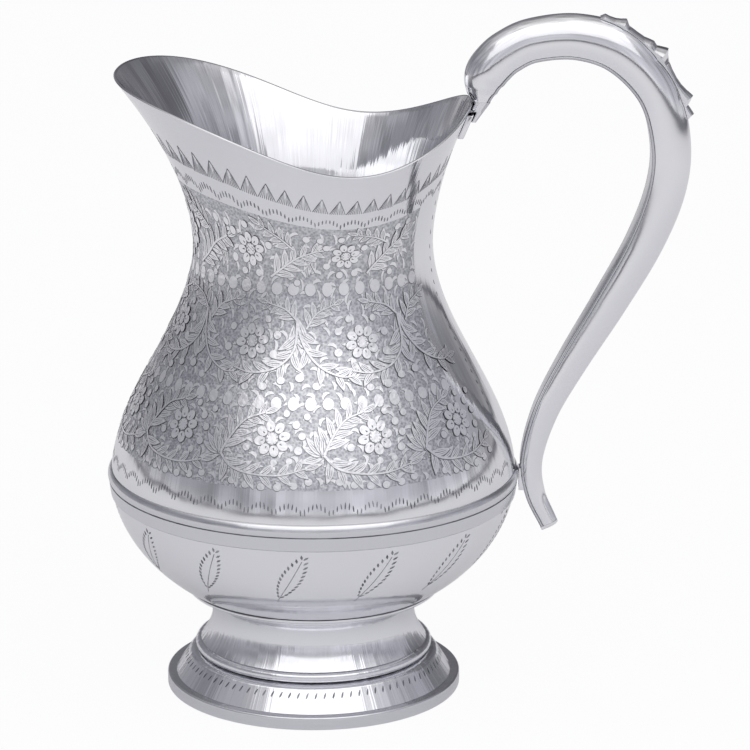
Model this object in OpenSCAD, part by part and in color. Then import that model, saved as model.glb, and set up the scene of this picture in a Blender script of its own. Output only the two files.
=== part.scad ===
// Engraved metal ewer on a spool foot, built from soldered sheet pieces with a hollow handle.
// Millimetres, Z up, origin at the centre of the foot on the table, handle towards +X, pouring lip towards -X.

/* [Body] */
// Outer radius of the body at the seam under the girdle band
belly_radius = 77.2; // [60:0.1:100]
// Height of the seam between bowl and upper body
seam_height = 82; // [60:0.5:110]
// Outer radius of the neck at its narrowest
neck_radius = 45; // [30:0.5:60]
// Height of the narrowest part of the neck
neck_height = 176; // [140:1:210]
// Sheet thickness of body, bowl and foot
wall = 1.2; // [0.8:0.1:2.5]
// Clearance at every soldered joint
joint_gap = 0.05; // [0.02:0.01:0.2]

/* [Rim] */
// Height of the pouring lip
lip_height = 239; // [200:0.5:270]
// Height of the rim half way between lip and side
front_quarter_height = 234; // [195:0.5:265]
// Height of the rim at its sides
side_height = 215.3; // [190:0.5:250]
// Height of the rim half way between side and handle
back_quarter_height = 217.5; // [190:0.5:250]
// Height of the rim at the handle
back_height = 229; // [195:0.5:260]
// Reach of the pouring lip from the body axis
lip_reach = 74; // [55:0.5:95]
// Reach of the rim half way between lip and side
front_quarter_reach = 71; // [50:0.5:90]
// Reach of the rim at its sides
side_reach = 59; // [45:0.5:80]
// Reach of the rim half way between side and handle
back_quarter_reach = 58.7; // [45:0.5:80]
// Reach of the rim at the handle
back_reach = 59.5; // [45:0.5:80]
// How late the neck turns outwards towards the rim
flare_power = 1.7; // [1.2:0.05:2.6]

/* [Bowl] */
// Height where the curve of the bowl would stand upright
bowl_centre_height = 86; // [70:0.5:110]
// Depth of the curve of the bowl
bowl_depth = 58; // [40:0.5:80]
// Height of the flat floor of the bowl
bowl_floor_height = 36.5; // [25:0.5:60]

/* [Girdle band] */
// Lower edge of the band
band_low = 77.4; // [65:0.1:90]
// Line between the flat strip and the bead
band_mid = 82.6; // [70:0.1:95]
// Upper edge of the band
band_high = 87.4; // [75:0.1:100]
// Thickness of the flat strip
strip_thick = 0.55; // [0.3:0.05:1.5]
// How far the bead stands off the body
bead_stand = 1.15; // [0.6:0.05:2.5]

/* [Foot] */
// Upper edge of the collar on the bowl
collar_high = 40.6; // [30:0.1:60]
// How far the collar beads stand off the bowl
collar_stand = 1.3; // [0.5:0.1:3]
// Outer radius of the stem at its narrowest
stem_radius = 38.8; // [25:0.1:55]
// Height of the narrowest part of the stem
stem_height = 29.5; // [20:0.5:45]
// Spread of the stem below its narrowest part, per square millimetre
stem_spread = 0.036; // [0.02:0.001:0.08]
// How far the top of the stem stands out past the flat floor of the bowl
stem_lip = 0.6; // [0.2:0.1:1]
// Height of the step where the stem stands on the skirt
step_height = 18.2; // [8:0.1:25]
// Radius of the bead round the step
step_bead = 2; // [0.6:0.1:2.5]
// Outer radius of the skirt at the foot ring
skirt_radius = 53; // [40:0.1:75]
// How far the skirt stands out past the stem right under the step bead
skirt_shelf = 3.2; // [1:0.1:6]
// Height of the foot ring
ring_height = 5; // [2:0.1:8]
// Outer radius of the foot ring
ring_radius = 56.3; // [42:0.1:78]
// Width of the foot ring across its base
ring_width = 5.2; // [2:0.1:8]

/* [Handle] */
// Thickness of the handle at its thickest
handle_thick = 16.8; // [14:0.5:26]
// How far the middle of the handle swings out past the line from rim to girdle band
handle_reach = 68; // [50:0.1:90]
// Height of the middle of the handle above the rim at its top
handle_rise = 24.8; // [18:0.1:40]
// Width of the handle across, as a part of its thickness
handle_width_part = 0.94; // [0.6:0.02:1.4]
// Sheet thickness of the handle shell and strap
handle_wall = 1.2; // [0.8:0.1:2]
// How far out from the edge of the rim the toe of the handle stands
toe_stand = 3.1; // [1:0.1:6]
// Half width of the handle at its toe
toe_half = 5.4; // [3:0.1:8]
// Clearance of the toe above the rim
toe_lift = 0.5; // [0.2:0.1:2]
// How far the wedge that closes the toe runs down outside the rim
toe_drop = 8; // [4:0.5:12]
// Thickness of that wedge at its tip
toe_tip = 1.9; // [0.8:0.1:4]
// Thickness of the plate that closes the tail
tail_plate = 1.4; // [0.8:0.1:3]
// Half width of the pad at the rim in degrees
rim_pad_half = 8; // [4:0.5:14]
// Thickness of the pad at the rim
rim_pad_thick = 2.4; // [0.8:0.1:4]
// Half width of the pad on the girdle band
low_pad_half = 3.4; // [2:0.1:6]
// Thickness of the thumbpiece at its highest tip
thumb_thick = 3.9; // [1:0.1:5]

/* [Hidden] */
sides = 64;
belly_rings = 20;
rim_rings = 13;
$fn = 128;
silver = [0.82, 0.82, 0.84];

// Shape of the handle from the rim over the top to the tail. Each row gives the share of the way down from the
// rim to the girdle band, then parts of the handle's reach, rise and thickness.
handle_shape = [
  [0, 0, 0.02, 0.393], [0, -0.001, 0.177, 0.696], [0, 0.014, 0.379, 0.887], [0, 0.062, 0.577, 0.929],
  [0, 0.141, 0.77, 0.929], [0, 0.282, 0.947, 0.93], [0, 0.525, 1, 0.965], [0, 0.763, 0.785, 1],
  [0.1, 0.939, 0.774, 0.941], [0.22, 0.991, 0.679, 0.904], [0.33, 0.947, 0.585, 0.881], [0.46, 0.804, 0.509, 0.834],
  [0.6, 0.585, 0.403, 0.774], [0.74, 0.349, 0.285, 0.685], [0.86, 0.183, 0.23, 0.613], [0.96, 0.099, 0.086, 0.529],
  [1, 0.098, -0.222, 0.512], [1, 0.16, -0.718, 0.506]];
last = len(handle_shape) - 1;

// The toe of the handle hangs over the rim, and its low end leans on the bead of the girdle band
toe_reach = back_reach + toe_stand;
toe_height = back_height + toe_lift;
bead_crest = (band_mid + band_high) / 2;
band_face = under(bead_crest) + bead_stand;

// Centre line of the handle in the XZ plane with its thickness
handle_line = [for (row = handle_shape) [
  toe_reach + (band_face - toe_reach) * row[0] + handle_reach * row[1],
  back_height + (seam_height - back_height) * row[0] + handle_rise * row[2],
  handle_thick * row[3]]];

// Rim values are given at 0, 45, 90, 135 and 180 degrees from the handle and joined by cosines
rim_heights = [back_height, back_quarter_height, side_height, front_quarter_height, lip_height];
rim_reaches = [back_reach, back_quarter_reach, side_reach, front_quarter_reach, lip_reach];
function even(v) = (v[0] + v[4]) / 2;
function odd(v) = (v[0] - v[4]) / 2;
function diagonal(v) = (v[1] - v[3]) / 2 / cos(45);
function quarter(v) = (v[1] + v[3]) / 2;
function round_curve(v, a) =
  ((even(v) + v[2]) / 2 + quarter(v)) / 2
  + (odd(v) + diagonal(v)) / 2 * cos(a)
  + (even(v) - v[2]) / 2 * cos(2 * a)
  + (odd(v) - diagonal(v)) / 2 * cos(3 * a)
  + ((even(v) + v[2]) / 2 - quarter(v)) / 2 * cos(4 * a);

// Outer radius of the round part of the body, and of the bowl
function belly(z) = (belly_radius + neck_radius) / 2
  + (belly_radius - neck_radius) / 2 * cos(180 * (z - seam_height) / (neck_height - seam_height));
function bowl(z) = belly_radius * sqrt(1 - pow((bowl_centre_height - z) / bowl_depth, 2))
  / sqrt(1 - pow((bowl_centre_height - seam_height) / bowl_depth, 2));

// A point of the flared part: share s of the way from neck to rim at angle a
function flare_height(s, a) = neck_height + (round_curve(rim_heights, a) - neck_height) * s;
function flare_reach(s, a) = neck_radius + (round_curve(rim_reaches, a) - neck_radius) * pow(s, flare_power);
function body_point(i, a, inset) =
  let (
    low = i <= belly_rings,
    z = low ? seam_height + joint_gap + (neck_height - seam_height - joint_gap) * i / belly_rings
      : flare_height((i - belly_rings) / rim_rings, a),
    r = low ? belly(z) : flare_reach((i - belly_rings) / rim_rings, a))
  [(r - inset) * cos(a), (r - inset) * sin(a), z];

// A ring of quads between two closed rings of n points starting at p and q, split into triangles
function ring_faces(p, q, n) = [for (j = [0:n - 1]) let (k = (j + 1) % n)
  each [[p + j, q + j, q + k], [p + j, q + k, p + k]]];

module upper_body() {
  rings = belly_rings + rim_rings + 1;
  count = rings * sides;
  points = [for (inset = [0, wall]) for (i = [0:rings - 1]) for (j = [0:sides - 1])
    body_point(i, 360 * j / sides, inset)];
  faces = concat(
    [for (i = [0:rings - 2]) each ring_faces(i * sides, (i + 1) * sides, sides)],
    [for (i = [0:rings - 2]) each ring_faces(count + (i + 1) * sides, count + i * sides, sides)],
    ring_faces((rings - 1) * sides, count + (rings - 1) * sides, sides),
    ring_faces(count, 0, sides));
  color(silver) polyhedron(points, faces);
}

module lower_bowl() {
  steps = 28;
  outer = [for (i = [0:steps]) let (z = bowl_floor_height + (seam_height - bowl_floor_height) * i / steps)
    [bowl(z), z]];
  inner = [for (i = [steps:-1:0])
    let (z = bowl_floor_height + wall + (seam_height - bowl_floor_height - wall) * i / steps)
    [bowl(z) - wall * 1.15, z]];
  color(silver) rotate_extrude()
    polygon(concat([[0, bowl_floor_height]], outer, inner, [[0, bowl_floor_height + wall]]));
}

// The body under the band: bowl below the seam, upper body above it
function under(z) = (z < seam_height ? bowl(z) : belly(max(z, seam_height))) + joint_gap;

module girdle_band() {
  steps = 10;
  strip = [for (i = [0:4]) let (z = band_low + (band_mid - band_low) * i / 4) [under(z) + strip_thick, z]];
  bead = [for (i = [0:steps]) let (z = band_mid + (band_high - band_mid) * i / steps)
    [under(z) + 0.3 + (bead_stand - 0.3) * sin(180 * i / steps), z]];
  back = [for (i = [8:-1:0]) let (z = band_low + (band_high - band_low) * i / 8) [under(z), z]];
  color(silver) rotate_extrude() polygon(concat(strip, bead, back));
}

module foot_collar() {
  steps = 20;
  low = bowl_floor_height;
  back = [for (i = [6:-1:0]) let (z = low + (collar_high - low) * i / 6) [bowl(z) + 2 * joint_gap, z]];
  front = [for (i = [0:steps]) let (z = low + (collar_high - low) * i / steps)
    [bowl(z) + 0.5 + (collar_stand - 0.2) * abs(sin(360 * i / steps)), z - 0.35 * abs(sin(360 * i / steps))]];
  color(silver) rotate_extrude() polygon(concat(front, back));
}

// Outer radius of the stem: its top opens to the flat floor of the bowl
stem_top = bowl_floor_height - joint_gap;
top_spread = (bowl(bowl_floor_height) + stem_lip - stem_radius) / pow(stem_top - stem_height, 2);
function stem(z) = stem_radius + (z > stem_height ? top_spread : stem_spread) * pow(z - stem_height, 2);

module foot_stem() {
  steps = 22;
  low = step_height + joint_gap;
  outer = [for (i = [0:steps]) let (z = low + (stem_top - low) * i / steps) [stem(z), z]];
  inner = [for (i = [steps:-1:0]) let (z = low + (stem_top - low) * i / steps) [stem(z) - wall * 1.2, z]];
  color(silver) rotate_extrude() polygon(concat(outer, inner));
}

// Outer radius of the skirt below the step bead
function skirt(z) = let (t = (step_height - 2 * step_bead - z) / (step_height - 2 * step_bead - ring_height),
    top = stem(step_height) + skirt_shelf)
  top + (skirt_radius - top) * t - (skirt_shelf + 0.3) * pow(max(1 - t / 0.12, 0), 2);

module foot_skirt() {
  steps = 12;
  low = ring_height + joint_gap;
  high = step_height - 2 * step_bead;
  edge = stem(step_height);
  bead = [for (i = [0:steps]) let (a = -90 + 180 * i / steps)
    [edge + step_bead * cos(a), step_height - step_bead + step_bead * sin(a)]];
  outer = [for (i = [0:steps - 1]) let (z = low + (high - low) * i / steps) [skirt(z), z]];
  inner = [for (i = [steps - 1:-1:0]) let (z = low + (high - low) * i / steps)
    [max(skirt(z + wall) - wall * 0.5, edge - 1.75 * wall), z]];
  color(silver) rotate_extrude()
    polygon(concat(outer, bead, [[edge - 2 * wall, step_height], [edge - 2 * wall, high]], inner));
}

module foot_ring() {
  r = ring_radius;
  color(silver) rotate_extrude() polygon([[r - ring_width, 0], [r - 0.5, 0], [r - 0.12, 0.2], [r, 0.6],
    [r, ring_height - 0.7], [r - 0.2, ring_height - 0.2], [r - 0.7, ring_height], [r - ring_width, ring_height]]);
}

// Handle line as a smooth curve through its points: u runs from 0 to last
function knot(i) = i < 0 ? 2 * handle_line[0] - handle_line[1]
  : i > last ? 2 * handle_line[last] - handle_line[last - 1] : handle_line[i];
function handle_at(u) = let (i = min(floor(u), last - 1), t = u - i,
    a = knot(i - 1), b = knot(i), c = knot(i + 1), d = knot(i + 2))
  0.5 * (2 * b + (c - a) * t + (2 * a - 5 * b + 4 * c - d) * t * t + (3 * b - a - 3 * c + d) * t * t * t);
function along(u) = let (h = 0.01, a = handle_at(max(u - h, 0)), b = handle_at(min(u + h, last)),
    v = [b[0] - a[0], b[1] - a[1]]) v / norm(v);

// A point of the handle: n out from the centre line, y across
function handle_point(u, n, y) = let (c = handle_at(u), v = along(u))
  [c[0] - v[1] * n, y, c[1] + v[0] * n];

// The first station is slid along the handle onto the level of the toe
function toe_point(n, y) = let (c = handle_at(0), v = along(0), z = c[1] + v[0] * n)
  [c[0] - v[1] * n + v[0] / v[1] * (toe_height - z), y, toe_height];
function station_point(u, n, y) = u == 0 ? toe_point(n, y) : handle_point(u, n, y);
stations = concat([0], [for (i = [0:58]) 0.4 + (last - 0.4) * i / 58]);

// Thickness and half width of the handle at u
function thick(u) = handle_at(u)[2];
function half(u) = max(thick(u) * handle_width_part / 2, u < 2 ? toe_half : 0);

// Domed outline of the shell, inset by g, as pairs of n and y
dome_steps = 12;
function dome(u, g) = let (t = thick(u), w = half(u) - g)
  concat([[-t / 2 + handle_wall, -w]],
    [for (i = [0:dome_steps]) let (a = 180 * i / dome_steps)
      [-0.08 * t + (0.58 * t - g) * sin(a), -w * cos(a)]],
    [[-t / 2 + handle_wall, w]]);

// A solid swept through rings of n points, closed at both ends by strips between matching halves
module swept_channel(rings, half_count) {
  n = 2 * half_count;
  count = len(rings);
  points = [for (r = rings) each r];
  end = (count - 1) * n;
  faces = concat(
    [for (i = [0:count - 2]) each ring_faces((i + 1) * n, i * n, n)],
    [for (j = [0:half_count - 2])
      each [[j, n - 2 - j, j + 1], [j, n - 1 - j, n - 2 - j]]],
    [for (j = [0:half_count - 2])
      each [[end + j, end + j + 1, end + n - 2 - j], [end + j, end + n - 2 - j, end + n - 1 - j]]]);
  polyhedron(points, faces);
}

module handle_shell() {
  count = dome_steps + 3;
  rings = [for (u = stations) let (a = dome(u, 0), b = dome(u, handle_wall))
    concat([for (p = a) station_point(u, p[0], p[1])],
      [for (k = [count - 1:-1:0]) station_point(u, b[k][0], b[k][1])])];
  color(silver) swept_channel(rings, count);
}

module handle_strap() {
  rings = [for (u = stations) let (t = thick(u), w = half(u), top = -t / 2 + handle_wall - joint_gap)
    [station_point(u, top, -w), station_point(u, top, w),
      station_point(u, -t / 2, w), station_point(u, -t / 2, -w)]];
  color(silver) swept_channel(rings, 2);
}

// Outline of the whole handle at u, flat side included
function outline(u) = let (t = thick(u), w = half(u), d = dome(u, 0))
  concat([[-t / 2, -w]], [for (k = [1:len(d) - 2]) d[k]], [[-t / 2, w]]);

// The pad at the rim covers this share of the flare, and its outer face carries the wedge of the toe
pad_low = 0.76;
pad_high = 0.93;
pad_top = flare_height(pad_high, 0);
function pad_face(z) = flare_reach((z - neck_height) / (back_height - neck_height), 0) + rim_pad_thick
  + 2 * joint_gap;

// A wedge that closes the toe and runs down outside the rim onto the pad
module handle_end_plate() {
  steps = 8;
  shape = outline(0);
  n = len(shape);
  high = toe_height - joint_gap;
  tip = high - toe_drop;
  start = max(toe_point(thick(0) / 2, 0)[0], back_reach + 2 * joint_gap);
  end = toe_point(-thick(0) / 2, 0)[0];
  rings = [for (i = [0:steps]) let (s = i / steps, z = high - toe_drop * s,
      near = z < pad_top ? pad_face(z) : start + (pad_face(pad_top) - start) * (high - z) / (high - pad_top),
      far = end + (pad_face(tip) + toe_tip - end) * s)
    [for (p = shape) [near + (far - near) * (0.5 - p[0] / thick(0)), p[1] * (1 - 0.35 * s), z]]];
  points = concat([for (r = rings) each r],
    [[(start + end) / 2, 0, high], [pad_face(tip) + toe_tip / 2, 0, tip]]);
  m = n * (steps + 1);
  faces = concat(
    [for (i = [0:steps - 1]) each ring_faces(i * n, (i + 1) * n, n)],
    [for (j = [0:n - 1]) [m, j, (j + 1) % n]],
    [for (j = [0:n - 1]) [m + 1, steps * n + (j + 1) % n, steps * n + j]]);
  color(silver) polyhedron(points, faces);
}

module handle_tail_plate() {
  v = along(last);
  gap = joint_gap;
  shape = outline(last);
  n = len(shape);
  levels = [[gap, 1], [gap + tail_plate * 0.6, 1], [gap + tail_plate, 0.82]];
  rings = [for (l = levels) [for (p = shape) let (q = handle_point(last, p[0] * l[1], p[1] * l[1]))
    [q[0] + v[0] * l[0], q[1], q[2] + v[1] * l[0]]]];
  first = handle_point(last, 0, 0);
  points = concat([for (r = rings) each r],
    [first + [v[0], 0, v[1]] * gap, first + [v[0], 0, v[1]] * (gap + tail_plate)]);
  faces = concat(
    [for (i = [0:1]) each ring_faces((i + 1) * n, i * n, n)],
    [for (j = [0:n - 1]) [3 * n, (j + 1) % n, j]],
    [for (j = [0:n - 1]) [3 * n + 1, 2 * n + j, 2 * n + (j + 1) % n]]);
  color(silver) polyhedron(points, faces);
}

// A solid between two grids of the same size, rows by columns, front first
module grid_solid(front, back, rows, cols) {
  n = rows * cols;
  edge = concat([for (j = [0:cols - 1]) j], [for (i = [1:rows - 1]) i * cols + cols - 1],
    [for (j = [cols - 2:-1:0]) (rows - 1) * cols + j], [for (i = [rows - 2:-1:1]) i * cols]);
  m = len(edge);
  cells = [for (i = [0:rows - 2]) for (j = [0:cols - 2]) i * cols + j];
  faces = concat(
    [for (c = cells) each [[c, c + cols, c + cols + 1], [c, c + cols + 1, c + 1]]],
    [for (c = cells) each [[n + c, n + c + cols + 1, n + c + cols], [n + c, n + c + 1, n + c + cols + 1]]],
    [for (k = [0:m - 1]) let (a = edge[k], b = edge[(k + 1) % m]) each [[a, b, n + b], [a, n + b, n + a]]]);
  polyhedron(concat(front, back), faces);
}

module rim_pad() {
  rows = 6;
  cols = 9;
  function on_neck(stand) = [for (i = [0:rows - 1]) for (j = [0:cols - 1])
    let (a = -rim_pad_half + 2 * rim_pad_half * j / (cols - 1), s = pad_low + (pad_high - pad_low) * i / (rows - 1),
      r = flare_reach(s, a) + stand)
    [r * cos(a), r * sin(a), flare_height(s, a)]];
  color(silver) grid_solid(on_neck(2 * joint_gap), on_neck(rim_pad_thick), rows, cols);
}

module lower_pad() {
  rows = 7;
  cols = 5;
  // The pad lies between these two places on the handle line
  first = 15.25;
  final = 15.85;
  r = band_face + joint_gap;
  grid = [for (i = [0:rows - 1]) for (j = [0:cols - 1])
    let (u = final + (first - final) * i / (rows - 1), y = -low_pad_half + 2 * low_pad_half * j / (cols - 1))
    handle_point(u, -thick(u) / 2 - joint_gap, y)];
  wall_side = [for (p = grid) [sqrt(r * r - p[1] * p[1]), p[1], p[2]]];
  color(silver) grid_solid(wall_side, grid, rows, cols);
}

// The thumbpiece lies on the dome between these two places of the handle line
thumb_first = 6.372;
thumb_final = 8.632;
// Its edge from end to end: share of its length, and height as a part of its thickness
thumb_edge = [[0, 0.08], [0.034, 0.38], [0.075, 0.27], [0.12, 0.27], [0.155, 0.4], [0.189, 0.62], [0.228, 0.14],
  [0.3, 0.08], [0.36, 0.14], [0.425, 0.46], [0.462, 0.36], [0.524, 1], [0.555, 0.6], [0.595, 0.3],
  [0.65, 0.14], [0.71, 0.1], [0.765, 0.22], [0.812, 0.5], [0.859, 0.9], [0.908, 0.22], [0.976, 0.58], [1, 0.08]];
function spread(t) = 10 + 24 * sqrt(max(sin(180 * (0.06 + 0.88 * t)), 0)) * (0.8 + 0.2 * lookup(t, thumb_edge));
function raise(t, k) = thumb_thick * lookup(t, thumb_edge) * (1 - 0.3 * k * k);

module thumbpiece() {
  cols = 9;
  // A row at every point of the edge and half way between two of them
  steps = [for (i = [0:len(thumb_edge) - 1]) each i == 0 ? [thumb_edge[0][0]]
    : [(thumb_edge[i - 1][0] + thumb_edge[i][0]) / 2, thumb_edge[i][0]]];
  rows = len(steps);
  cell = [for (t = steps) for (j = [0:cols - 1]) [t, 2 * j / (cols - 1) - 1]];
  function on_dome(t, k, g) = let (u = thumb_first + (thumb_final - thumb_first) * t, h = thick(u),
      a = 90 + spread(t) * k)
    handle_point(u, -0.08 * h + (0.58 * h + g) * sin(a), -(half(u) + g) * cos(a));
  under_side = [for (c = cell) on_dome(c[0], c[1], 2 * joint_gap)];
  top_side = [for (c = cell) on_dome(c[0], c[1], 2 * joint_gap + raise(c[0], c[1]))];
  color(silver) grid_solid(top_side, under_side, rows, cols);
}

foot_ring();
foot_skirt();
foot_stem();
foot_collar();
lower_bowl();
girdle_band();
upper_body();
rim_pad();
handle_end_plate();
handle_shell();
handle_strap();
handle_tail_plate();
lower_pad();
thumbpiece();
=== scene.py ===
import math

import bpy
import numpy as np
from mathutils import Matrix, Vector


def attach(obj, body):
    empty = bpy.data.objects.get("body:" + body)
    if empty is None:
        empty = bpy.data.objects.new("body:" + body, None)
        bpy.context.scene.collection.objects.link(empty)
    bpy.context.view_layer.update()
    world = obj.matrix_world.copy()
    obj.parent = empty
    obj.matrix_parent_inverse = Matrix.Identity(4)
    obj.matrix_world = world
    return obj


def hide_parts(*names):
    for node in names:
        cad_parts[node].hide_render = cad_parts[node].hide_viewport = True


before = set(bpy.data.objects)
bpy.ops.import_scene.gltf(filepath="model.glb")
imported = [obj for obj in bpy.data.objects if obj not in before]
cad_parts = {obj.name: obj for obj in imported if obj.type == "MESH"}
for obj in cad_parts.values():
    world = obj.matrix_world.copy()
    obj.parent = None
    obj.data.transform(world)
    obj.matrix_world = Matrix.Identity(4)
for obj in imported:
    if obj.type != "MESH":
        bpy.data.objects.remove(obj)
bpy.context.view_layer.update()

# Sizes of the body in millimetres, as the part's source has them
BELLY_RADIUS = 77.2
SEAM_HEIGHT = 82.0
NECK_RADIUS = 45.0
NECK_HEIGHT = 176.0
WALL = 1.2
GAP = 0.05
FLARE_POWER = 1.7
RIM_HEIGHTS = (229.0, 217.5, 215.3, 234.0, 239.0)
RIM_REACHES = (59.5, 58.7, 59.0, 71.0, 74.0)
BOWL_CENTRE = 86.0
BOWL_DEPTH = 58.0
BOWL_FLOOR = 36.5
BAND = (77.4, 82.6, 87.4)
STRIP_THICK = 0.55
BEAD_STAND = 1.15
COLLAR_HIGH = 40.6
COLLAR_STAND = 1.3
STEM_RADIUS = 38.8
STEM_HEIGHT = 29.5
STEM_SPREAD = 0.036
STEM_LIP = 0.6
STEP_HEIGHT = 18.2
STEP_BEAD = 2.0
SKIRT_RADIUS = 53.0
SKIRT_SHELF = 3.2
RING_HEIGHT = 5.0
RING_RADIUS = 56.3
RING_WIDTH = 5.2

# Sizes of the handle in millimetres. Each row of its shape gives the share of the way down from the rim
# to the girdle band, then parts of the handle's reach, rise and thickness. The toe is a little wider
# and the tail a little thinner than in the part's source.
HANDLE_THICK = 16.8
HANDLE_REACH = 68.0
HANDLE_RISE = 24.8
HANDLE_WIDTH_PART = 0.94
HANDLE_WALL = 1.2
DOME_FOOT = 0.08
DOME_RISE = 0.58
TOE_STAND = 3.1
TOE_HALF = 6.3
TOE_LIFT = 0.5
TOE_DROP = 8.0
TOE_TIP = 1.9
RIM_PAD_THICK = 2.4
RIM_PAD_HIGH = 0.93
HANDLE_SHAPE = (
    (0, 0, 0.02, 0.393), (0, -0.001, 0.177, 0.696), (0, 0.014, 0.379, 0.887),
    (0, 0.062, 0.577, 0.929), (0, 0.141, 0.77, 0.929), (0, 0.282, 0.947, 0.93),
    (0, 0.525, 1, 0.965), (0, 0.763, 0.785, 1), (0.1, 0.939, 0.774, 0.941),
    (0.22, 0.991, 0.679, 0.904), (0.33, 0.947, 0.585, 0.881), (0.46, 0.804, 0.509, 0.834),
    (0.6, 0.585, 0.403, 0.774), (0.74, 0.349, 0.285, 0.685), (0.86, 0.178, 0.23, 0.6),
    (0.96, 0.081, 0.086, 0.515), (1, 0.092, -0.222, 0.455), (1, 0.172, -0.718, 0.41))
LAST = len(HANDLE_SHAPE) - 1

# The thumbpiece on the handle line, and its edge: share of its length, height as a part of its thickness
THUMB_THICK = 3.9
THUMB_SPAN = (6.372, 8.632)
THUMB_EDGE = np.array((
    (0, 0.08), (0.034, 0.38), (0.075, 0.27), (0.12, 0.27), (0.155, 0.4), (0.189, 0.62),
    (0.228, 0.14), (0.3, 0.08), (0.36, 0.14), (0.425, 0.46), (0.462, 0.36), (0.524, 1),
    (0.555, 0.6), (0.595, 0.3), (0.65, 0.14), (0.71, 0.1), (0.765, 0.22), (0.812, 0.5),
    (0.859, 0.9), (0.908, 0.22), (0.976, 0.58), (1, 0.08)))

# Points round each turned piece
ROUND = 192

# Heights of the engraver's work on the plate: each leaf has its own thin layer, with its outline lowest
FIRST_LAYER = 0.04
LAYER_STEP = 0.018
LAYERS = 14
BRIGHT_LEVEL = 0.009
DETAIL_LEVEL = 0.016
OUTLINE = 0.09

# The dark outline is shifted towards the side away from the light, millimetres round and up: painted shade on
# that side of each cut
SHADE = np.array([-0.1, -0.15])

# The engraving is laid out flat: millimetres round at this radius, millimetres up from the seam
FLAT_RADIUS = 60.0
AROUND = 2 * math.pi * FLAT_RADIUS


def linear(code):
    """An sRGB hex value as linear red, green and blue with alpha."""
    parts = [int(code[k:k + 2], 16) / 255 for k in (1, 3, 5)]
    return tuple(c / 12.92 if c <= 0.04045 else ((c + 0.055) / 1.055) ** 2.4 for c in parts) + (1.0,)


def put(tree, kind, inputs=None, **settings):
    """Adds a node with its settings. An input given as a socket is linked, any other is set."""
    node = tree.nodes.new(kind)
    for name, value in settings.items():
        setattr(node, name, value)
    for key, value in (inputs or {}).items():
        if isinstance(value, bpy.types.NodeSocket):
            tree.links.new(value, node.inputs[key])
        else:
            node.inputs[key].default_value = value
    return node


def rim_curve(values, angle):
    """The rim's value at an angle from the handle, joined by cosines through five given ones."""
    even = (values[0] + values[4]) / 2
    odd = (values[0] - values[4]) / 2
    diagonal = (values[1] - values[3]) / 2 / math.cos(math.pi / 4)
    quarter = (values[1] + values[3]) / 2
    middle = (even + values[2]) / 2
    return ((middle + quarter) / 2 + (odd + diagonal) / 2 * np.cos(angle)
            + (even - values[2]) / 2 * np.cos(2 * angle) + (odd - diagonal) / 2 * np.cos(3 * angle)
            + (middle - quarter) / 2 * np.cos(4 * angle))


def belly(z):
    """Outer radius of the round part of the body."""
    share = (z - SEAM_HEIGHT) / (NECK_HEIGHT - SEAM_HEIGHT)
    return (BELLY_RADIUS + NECK_RADIUS) / 2 + (BELLY_RADIUS - NECK_RADIUS) / 2 * np.cos(np.pi * share)


def bowl(z):
    """Outer radius of the bowl."""
    top = math.sqrt(1 - ((BOWL_CENTRE - SEAM_HEIGHT) / BOWL_DEPTH) ** 2)
    return BELLY_RADIUS * np.sqrt(1 - ((BOWL_CENTRE - z) / BOWL_DEPTH) ** 2) / top


def stem(z):
    """Outer radius of the spool, whose top opens to the flat floor of the bowl."""
    top = BOWL_FLOOR - GAP
    top_spread = (bowl(BOWL_FLOOR) + STEM_LIP - STEM_RADIUS) / (top - STEM_HEIGHT) ** 2
    spread = top_spread if z > STEM_HEIGHT else STEM_SPREAD
    return STEM_RADIUS + spread * (z - STEM_HEIGHT) ** 2


def skirt(z):
    """Outer radius of the foot's skirt below the step bead."""
    high = STEP_HEIGHT - 2 * STEP_BEAD
    share = (high - z) / (high - RING_HEIGHT)
    top = stem(STEP_HEIGHT) + SKIRT_SHELF
    shelf = (SKIRT_SHELF + 0.3) * np.maximum(1 - share / 0.12, 0) ** 2
    return top + (SKIRT_RADIUS - top) * share - shelf


# Length up the belly from the seam to the neck, as a curve of height
belly_heights = np.linspace(SEAM_HEIGHT, NECK_HEIGHT, 600)
belly_steps = np.hypot(np.diff(belly_heights), np.diff(belly(belly_heights)))
belly_lengths = np.concatenate([[0.0], np.cumsum(belly_steps)])
NECK_LENGTH = float(belly_lengths[-1])
FLARE_LENGTH = 42.15
FULL_LENGTH = NECK_LENGTH + FLARE_LENGTH


def body_points(lengths, angles, inset=0.0):
    """Points of the upper body at lengths up from the seam and angles from the handle, rows by columns."""
    up = np.asarray(lengths)[:, None]
    around = np.asarray(angles)[None, :]
    height = np.interp(up, belly_lengths, belly_heights)
    share = np.clip((up - NECK_LENGTH) / FLARE_LENGTH, 0, 1)
    z = np.where(share > 0, NECK_HEIGHT + (rim_curve(RIM_HEIGHTS, around) - NECK_HEIGHT) * share, height)
    flared = NECK_RADIUS + (rim_curve(RIM_REACHES, around) - NECK_RADIUS) * share ** FLARE_POWER
    reach = np.where(share > 0, flared, belly(height)) - inset
    return np.stack([reach * np.cos(around), reach * np.sin(around), z + 0 * around], axis=-1)


def make_object(name, points, faces, smooth=35):
    """A mesh object from points in millimetres, smooth but for edges sharper than the given angle."""
    mesh = bpy.data.meshes.new(name)
    mesh.from_pydata((np.asarray(points) * 0.001).tolist(), [], faces)
    mesh.shade_smooth()
    mesh.set_sharp_from_angle(angle=math.radians(smooth))
    thing = bpy.data.objects.new(name, mesh)
    bpy.context.scene.collection.objects.link(thing)
    return thing


def ring_quads(first, second, count):
    """Quads between two closed rings of points."""
    return [(first + j, first + (j + 1) % count, second + (j + 1) % count, second + j) for j in range(count)]


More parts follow.
